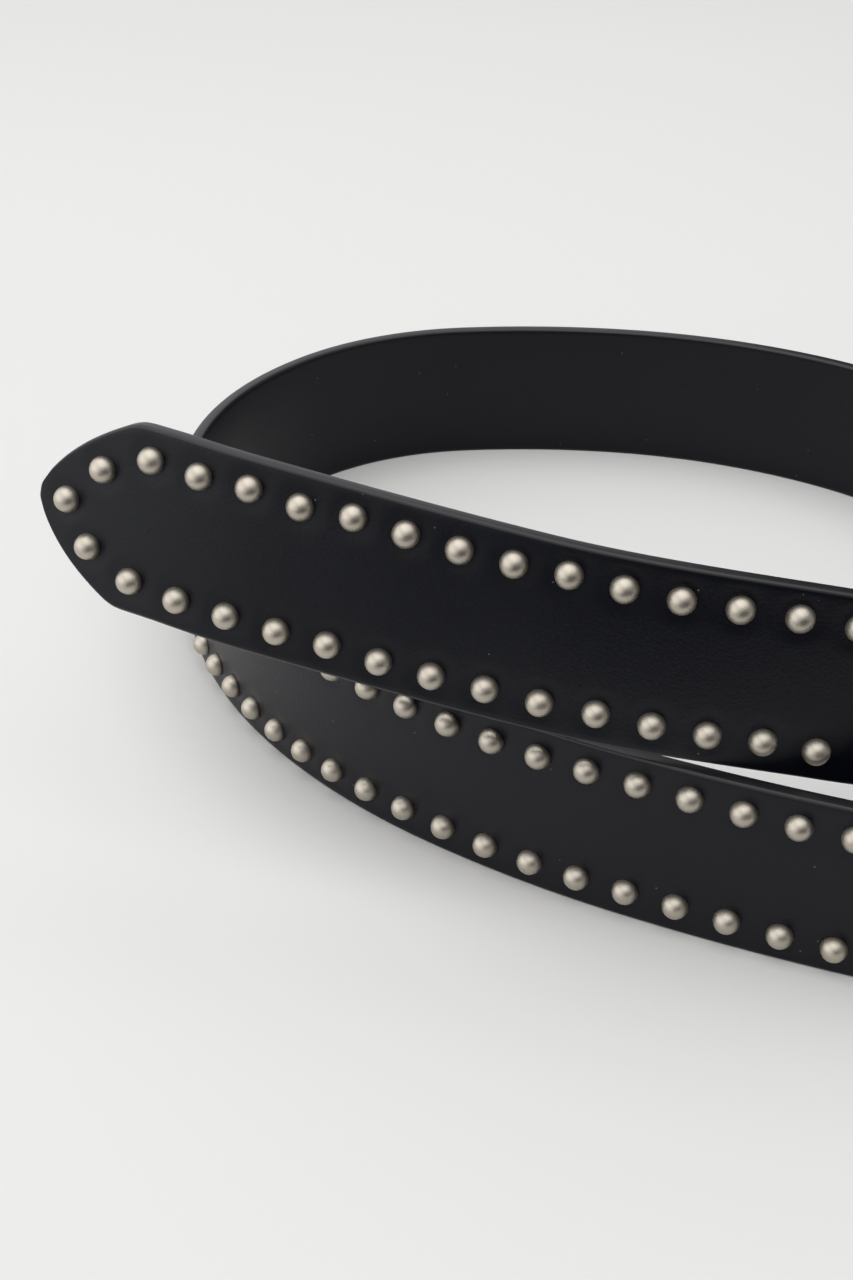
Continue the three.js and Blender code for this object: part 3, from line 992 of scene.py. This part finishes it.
class BELT_OT_strap(bpy.types.Operator):
    """Model the leather strap flat, punch it, then coil it as it stands"""

    bl_idname = "belt.strap"
    bl_label = "Strap"

    def execute(self, context):
        scene = context.scene
        strap, studs = scene.belt_strap, scene.belt_studs
        course = Course(strap)
        piece = flat_strap(strap, course)
        punch(piece, strap, course)
        finish = scene.belt_finish
        piece.data.materials.append(leather_material(finish))
        piece.data.materials.append(paint_material("Edge paint", finish.edge))
        # The long corners get a lighter colour, a painted highlight
        piece.data.materials.append(paint_material("Corner highlight", finish.corner))
        paint_edges(piece)
        store_flat_places(piece)
        settle_leather(piece, strap, studs)
        for vertex in piece.data.vertices:
            vertex.co = course.point(*vertex.co)
        finish_piece(piece, "belt_strap", (), STRAP_SMOOTH)
        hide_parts("strap")
        return {"FINISHED"}


# The studs


def dome(studs, segments, rings):
    """One domed stud, upright on Z: a flattened ball cut off just under its widest ring."""
    clear_selection()
    bpy.ops.mesh.primitive_uv_sphere_add(segments=segments, ring_count=rings, radius=1)
    piece = bpy.context.object
    bpy.ops.object.mode_set(mode="EDIT")
    bpy.ops.mesh.select_all(action="SELECT")
    radius = studs.diameter / 2
    bpy.ops.transform.resize(value=(radius, radius, studs.height), center_override=(0, 0, 0))
    bpy.ops.mesh.bisect(
        plane_co=(0, 0, -studs.sink), plane_no=(0, 0, 1), use_fill=True, clear_inner=True
    )
    bpy.ops.mesh.select_all(action="SELECT")
    bpy.ops.mesh.normals_make_consistent(inside=False)
    bpy.ops.object.mode_set(mode="OBJECT")
    return piece


def copy_to(piece, matrix):
    """A copy of a piece with a mesh of its own, moved by a matrix."""
    twin = piece.copy()
    twin.data = piece.data.copy()
    twin.data.transform(matrix)
    bpy.context.scene.collection.objects.link(twin)
    return twin


class BELT_OT_tip_studs(bpy.types.Operator):
    """Set the studs of the tip stretch, each a piece of its own"""

    bl_idname = "belt.tip_studs"
    bl_label = "Tip studs"

    def execute(self, context):
        scene = context.scene
        course = Course(scene.belt_strap)
        pattern = dome(scene.belt_studs, segments=24, rings=14)
        for name, place, across, loose in stud_places(scene.belt_strap, scene.belt_studs):
            if not loose:
                continue
            stud = copy_to(pattern, course.seat(place, across))
            nickel = nickel_material(scene.belt_finish)
            finish_piece(stud, f"dome_{name}", [nickel], STUD_SMOOTH)
            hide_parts(name)
        bpy.data.objects.remove(pattern)
        return {"FINISHED"}


class BELT_OT_field_studs(bpy.types.Operator):
    """Set the studs of the rest of the strap, joined as one field"""

    bl_idname = "belt.field_studs"
    bl_label = "Field studs"

    def execute(self, context):
        scene = context.scene
        course = Course(scene.belt_strap)
        pattern = dome(scene.belt_studs, segments=16, rings=10)
        field = [
            copy_to(pattern, course.seat(place, across))
            for _, place, across, loose in stud_places(scene.belt_strap, scene.belt_studs)
            if not loose
        ]
        bpy.data.objects.remove(pattern)
        pick(field[0], *field[1:])
        bpy.ops.object.join()
        nickel = nickel_material(scene.belt_finish)
        finish_piece(field[0], "stud_field", [nickel], STUD_SMOOTH)
        return {"FINISHED"}


# The buckle


class BELT_OT_buckle(bpy.types.Operator):
    """Round off the plain buckle and plate it"""

    bl_idname = "belt.buckle"
    bl_label = "Buckle"

    def execute(self, context):
        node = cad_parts["buckle"]
        clear_selection()
        piece = copy_to(node, Matrix.Identity(4))
        for key in list(piece.keys()):
            del piece[key]
        piece.parent = None
        piece.data.materials.clear()
        pick(piece)
        bpy.ops.object.mode_set(mode="EDIT")
        bpy.ops.mesh.select_all(action="SELECT")
        bpy.ops.mesh.remove_doubles(threshold=SAME_PLACE)
        bpy.ops.mesh.dissolve_limited(angle_limit=math.radians(1))
        bpy.ops.object.mode_set(mode="OBJECT")
        apply_modifier(
            piece,
            "BEVEL",
            width=BUCKLE_ROUND,
            segments=2,
            limit_method="ANGLE",
            angle_limit=math.radians(BUCKLE_CORNER),
        )
        nickel = nickel_material(context.scene.belt_finish)
        finish_piece(piece, "buckle_plain", [nickel], BUCKLE_SMOOTH)
        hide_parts("buckle")
        return {"FINISHED"}


# Floor, light and camera


def soft_light(name, place, aim, size, power):
    """A large soft light that looks at a point."""
    light = bpy.data.lights.new(name, "AREA")
    light.shape = "RECTANGLE"
    light.size, light.size_y = size
    light.energy = power
    lamp = bpy.data.objects.new(name, light)
    lamp.location = place
    lamp.rotation_euler = (Vector(aim) - Vector(place)).to_track_quat("-Z", "Y").to_euler()
    bpy.context.scene.collection.objects.link(lamp)


def studio_world():
    """A pale room round the stage, lighter on the left than on the right."""
    world = bpy.data.worlds.new("Studio")
    world.use_nodes = True
    tree = world.node_tree
    tree.nodes.clear()
    direction = add_node(tree, "ShaderNodeTexCoord", (-600, 0))
    side = add_node(tree, "ShaderNodeSeparateXYZ", (-400, 0))
    level = add_node(tree, "ShaderNodeMapRange", (-200, 0))
    level.inputs["From Min"].default_value, level.inputs["To Min"].default_value = ROOM_BRIGHT
    level.inputs["From Max"].default_value, level.inputs["To Max"].default_value = ROOM_DARK
    back = add_node(tree, "ShaderNodeBackground", (0, 0))
    back.inputs["Color"].default_value = (0.97, 0.98, 1.0, 1)
    out = add_node(tree, "ShaderNodeOutputWorld", (200, 0))
    tree.links.new(direction.outputs["Generated"], side.inputs[0])
    tree.links.new(side.outputs["X"], level.inputs["Value"])
    tree.links.new(level.outputs[0], back.inputs["Strength"])
    tree.links.new(back.outputs[0], out.inputs["Surface"])
    return world


def dark_card(name, place, size, tilt):
    """A dark card that only reflections see, turned up from level by a tilt in degrees."""
    clear_selection()
    bpy.ops.mesh.primitive_plane_add(size=1, location=(0, 0, 0))
    card = bpy.context.object
    bpy.ops.object.mode_set(mode="EDIT")
    bpy.ops.mesh.select_all(action="SELECT")
    bpy.ops.transform.resize(value=(size[0], size[1], 1), center_override=(0, 0, 0))
    bpy.ops.object.mode_set(mode="OBJECT")
    turn = Matrix.Rotation(math.radians(tilt), 4, "X")
    card.data.transform(Matrix.Translation(place) @ turn)
    card.name = name
    colour = (0.01, 0.01, 0.01)
    material, tree, shader = new_material("Dark cloth", colour)
    if tree:
        shader.inputs["Base Color"].default_value = (*colour, 1)
        shader.inputs["Roughness"].default_value = 1.0
        shader.inputs["Specular IOR Level"].default_value = 0.0
    card.data.materials.append(material)
    card.visible_camera = False
    card.visible_shadow = False
    card.visible_diffuse = False


class BELT_OT_stage(bpy.types.Operator):
    """Lay the pale floor, and set the lights and the camera"""

    bl_idname = "belt.stage"
    bl_label = "Stage"

    def execute(self, context):
        scene = context.scene
        stage = scene.belt_stage
        clear_selection()
        bpy.ops.mesh.primitive_grid_add(x_subdivisions=8, y_subdivisions=8, size=FLOOR_SIDE)
        floor = context.object
        floor.name = "floor"
        floor.data.materials.append(floor_material(stage.floor))

        scene.world = studio_world()
        for row in LIGHTS:
            soft_light(*row)
        for row in DARK_CARDS:
            dark_card(*row)

        camera = bpy.data.objects.new("camera", bpy.data.cameras.new("camera"))
        camera.data.sensor_fit = "AUTO"
        camera.data.sensor_width = 36
        camera.data.lens = stage.lens
        camera.data.clip_start = 0.01
        camera.data.clip_end = 50
        tilt = math.asin(stage.camera_height / stage.camera_distance)
        back_off = stage.camera_distance * math.cos(tilt)
        camera.location = Vector(CAMERA_AIM) + Vector((0, -back_off, stage.camera_height))
        camera.rotation_euler = (math.pi / 2 - tilt, 0, 0)
        scene.collection.objects.link(camera)
        scene.camera = camera
        scene.view_settings.view_transform = "Standard"
        return {"FINISHED"}


class BELT_PT_panel(bpy.types.Panel):
    """The belt's pieces, in the order they are made"""

    bl_idname = "BELT_PT_panel"
    bl_label = "Studded belt"
    bl_space_type = "VIEW_3D"
    bl_region_type = "UI"
    bl_category = "Belt"

    def draw(self, context):
        for operator in OPERATORS:
            self.layout.operator(operator.bl_idname)
        for name in SETTINGS:
            box = self.layout.box()
            settings = getattr(context.scene, name)
            for key in settings.bl_rna.properties.keys():
                if key not in ("rna_type", "name"):
                    box.prop(settings, key)


OPERATORS = (
    BELT_OT_strap,
    BELT_OT_tip_studs,
    BELT_OT_field_studs,
    BELT_OT_buckle,
    BELT_OT_stage,
)
SETTINGS = {
    "belt_strap": BeltStrapSettings,
    "belt_studs": BeltStudSettings,
    "belt_finish": BeltFinishSettings,
    "belt_stage": BeltStageSettings,
}


def register():
    """Adds the settings, the operators and the panel to Blender."""
    for kind in (*SETTINGS.values(), *OPERATORS, BELT_PT_panel):
        bpy.utils.register_class(kind)
    for name, kind in SETTINGS.items():
        setattr(bpy.types.Scene, name, bpy.props.PointerProperty(type=kind))


def unregister():
    """Takes the settings, the operators and the panel out of Blender."""
    for name in SETTINGS:
        delattr(bpy.types.Scene, name)
    for kind in (BELT_PT_panel, *reversed(OPERATORS), *reversed(SETTINGS.values())):
        bpy.utils.unregister_class(kind)


def main():
    """Makes every piece and the stage."""
    register()
    bpy.ops.belt.strap()
    bpy.ops.belt.tip_studs()
    bpy.ops.belt.field_studs()
    bpy.ops.belt.buckle()
    bpy.ops.belt.stage()


if __name__ == "__main__":
    main()
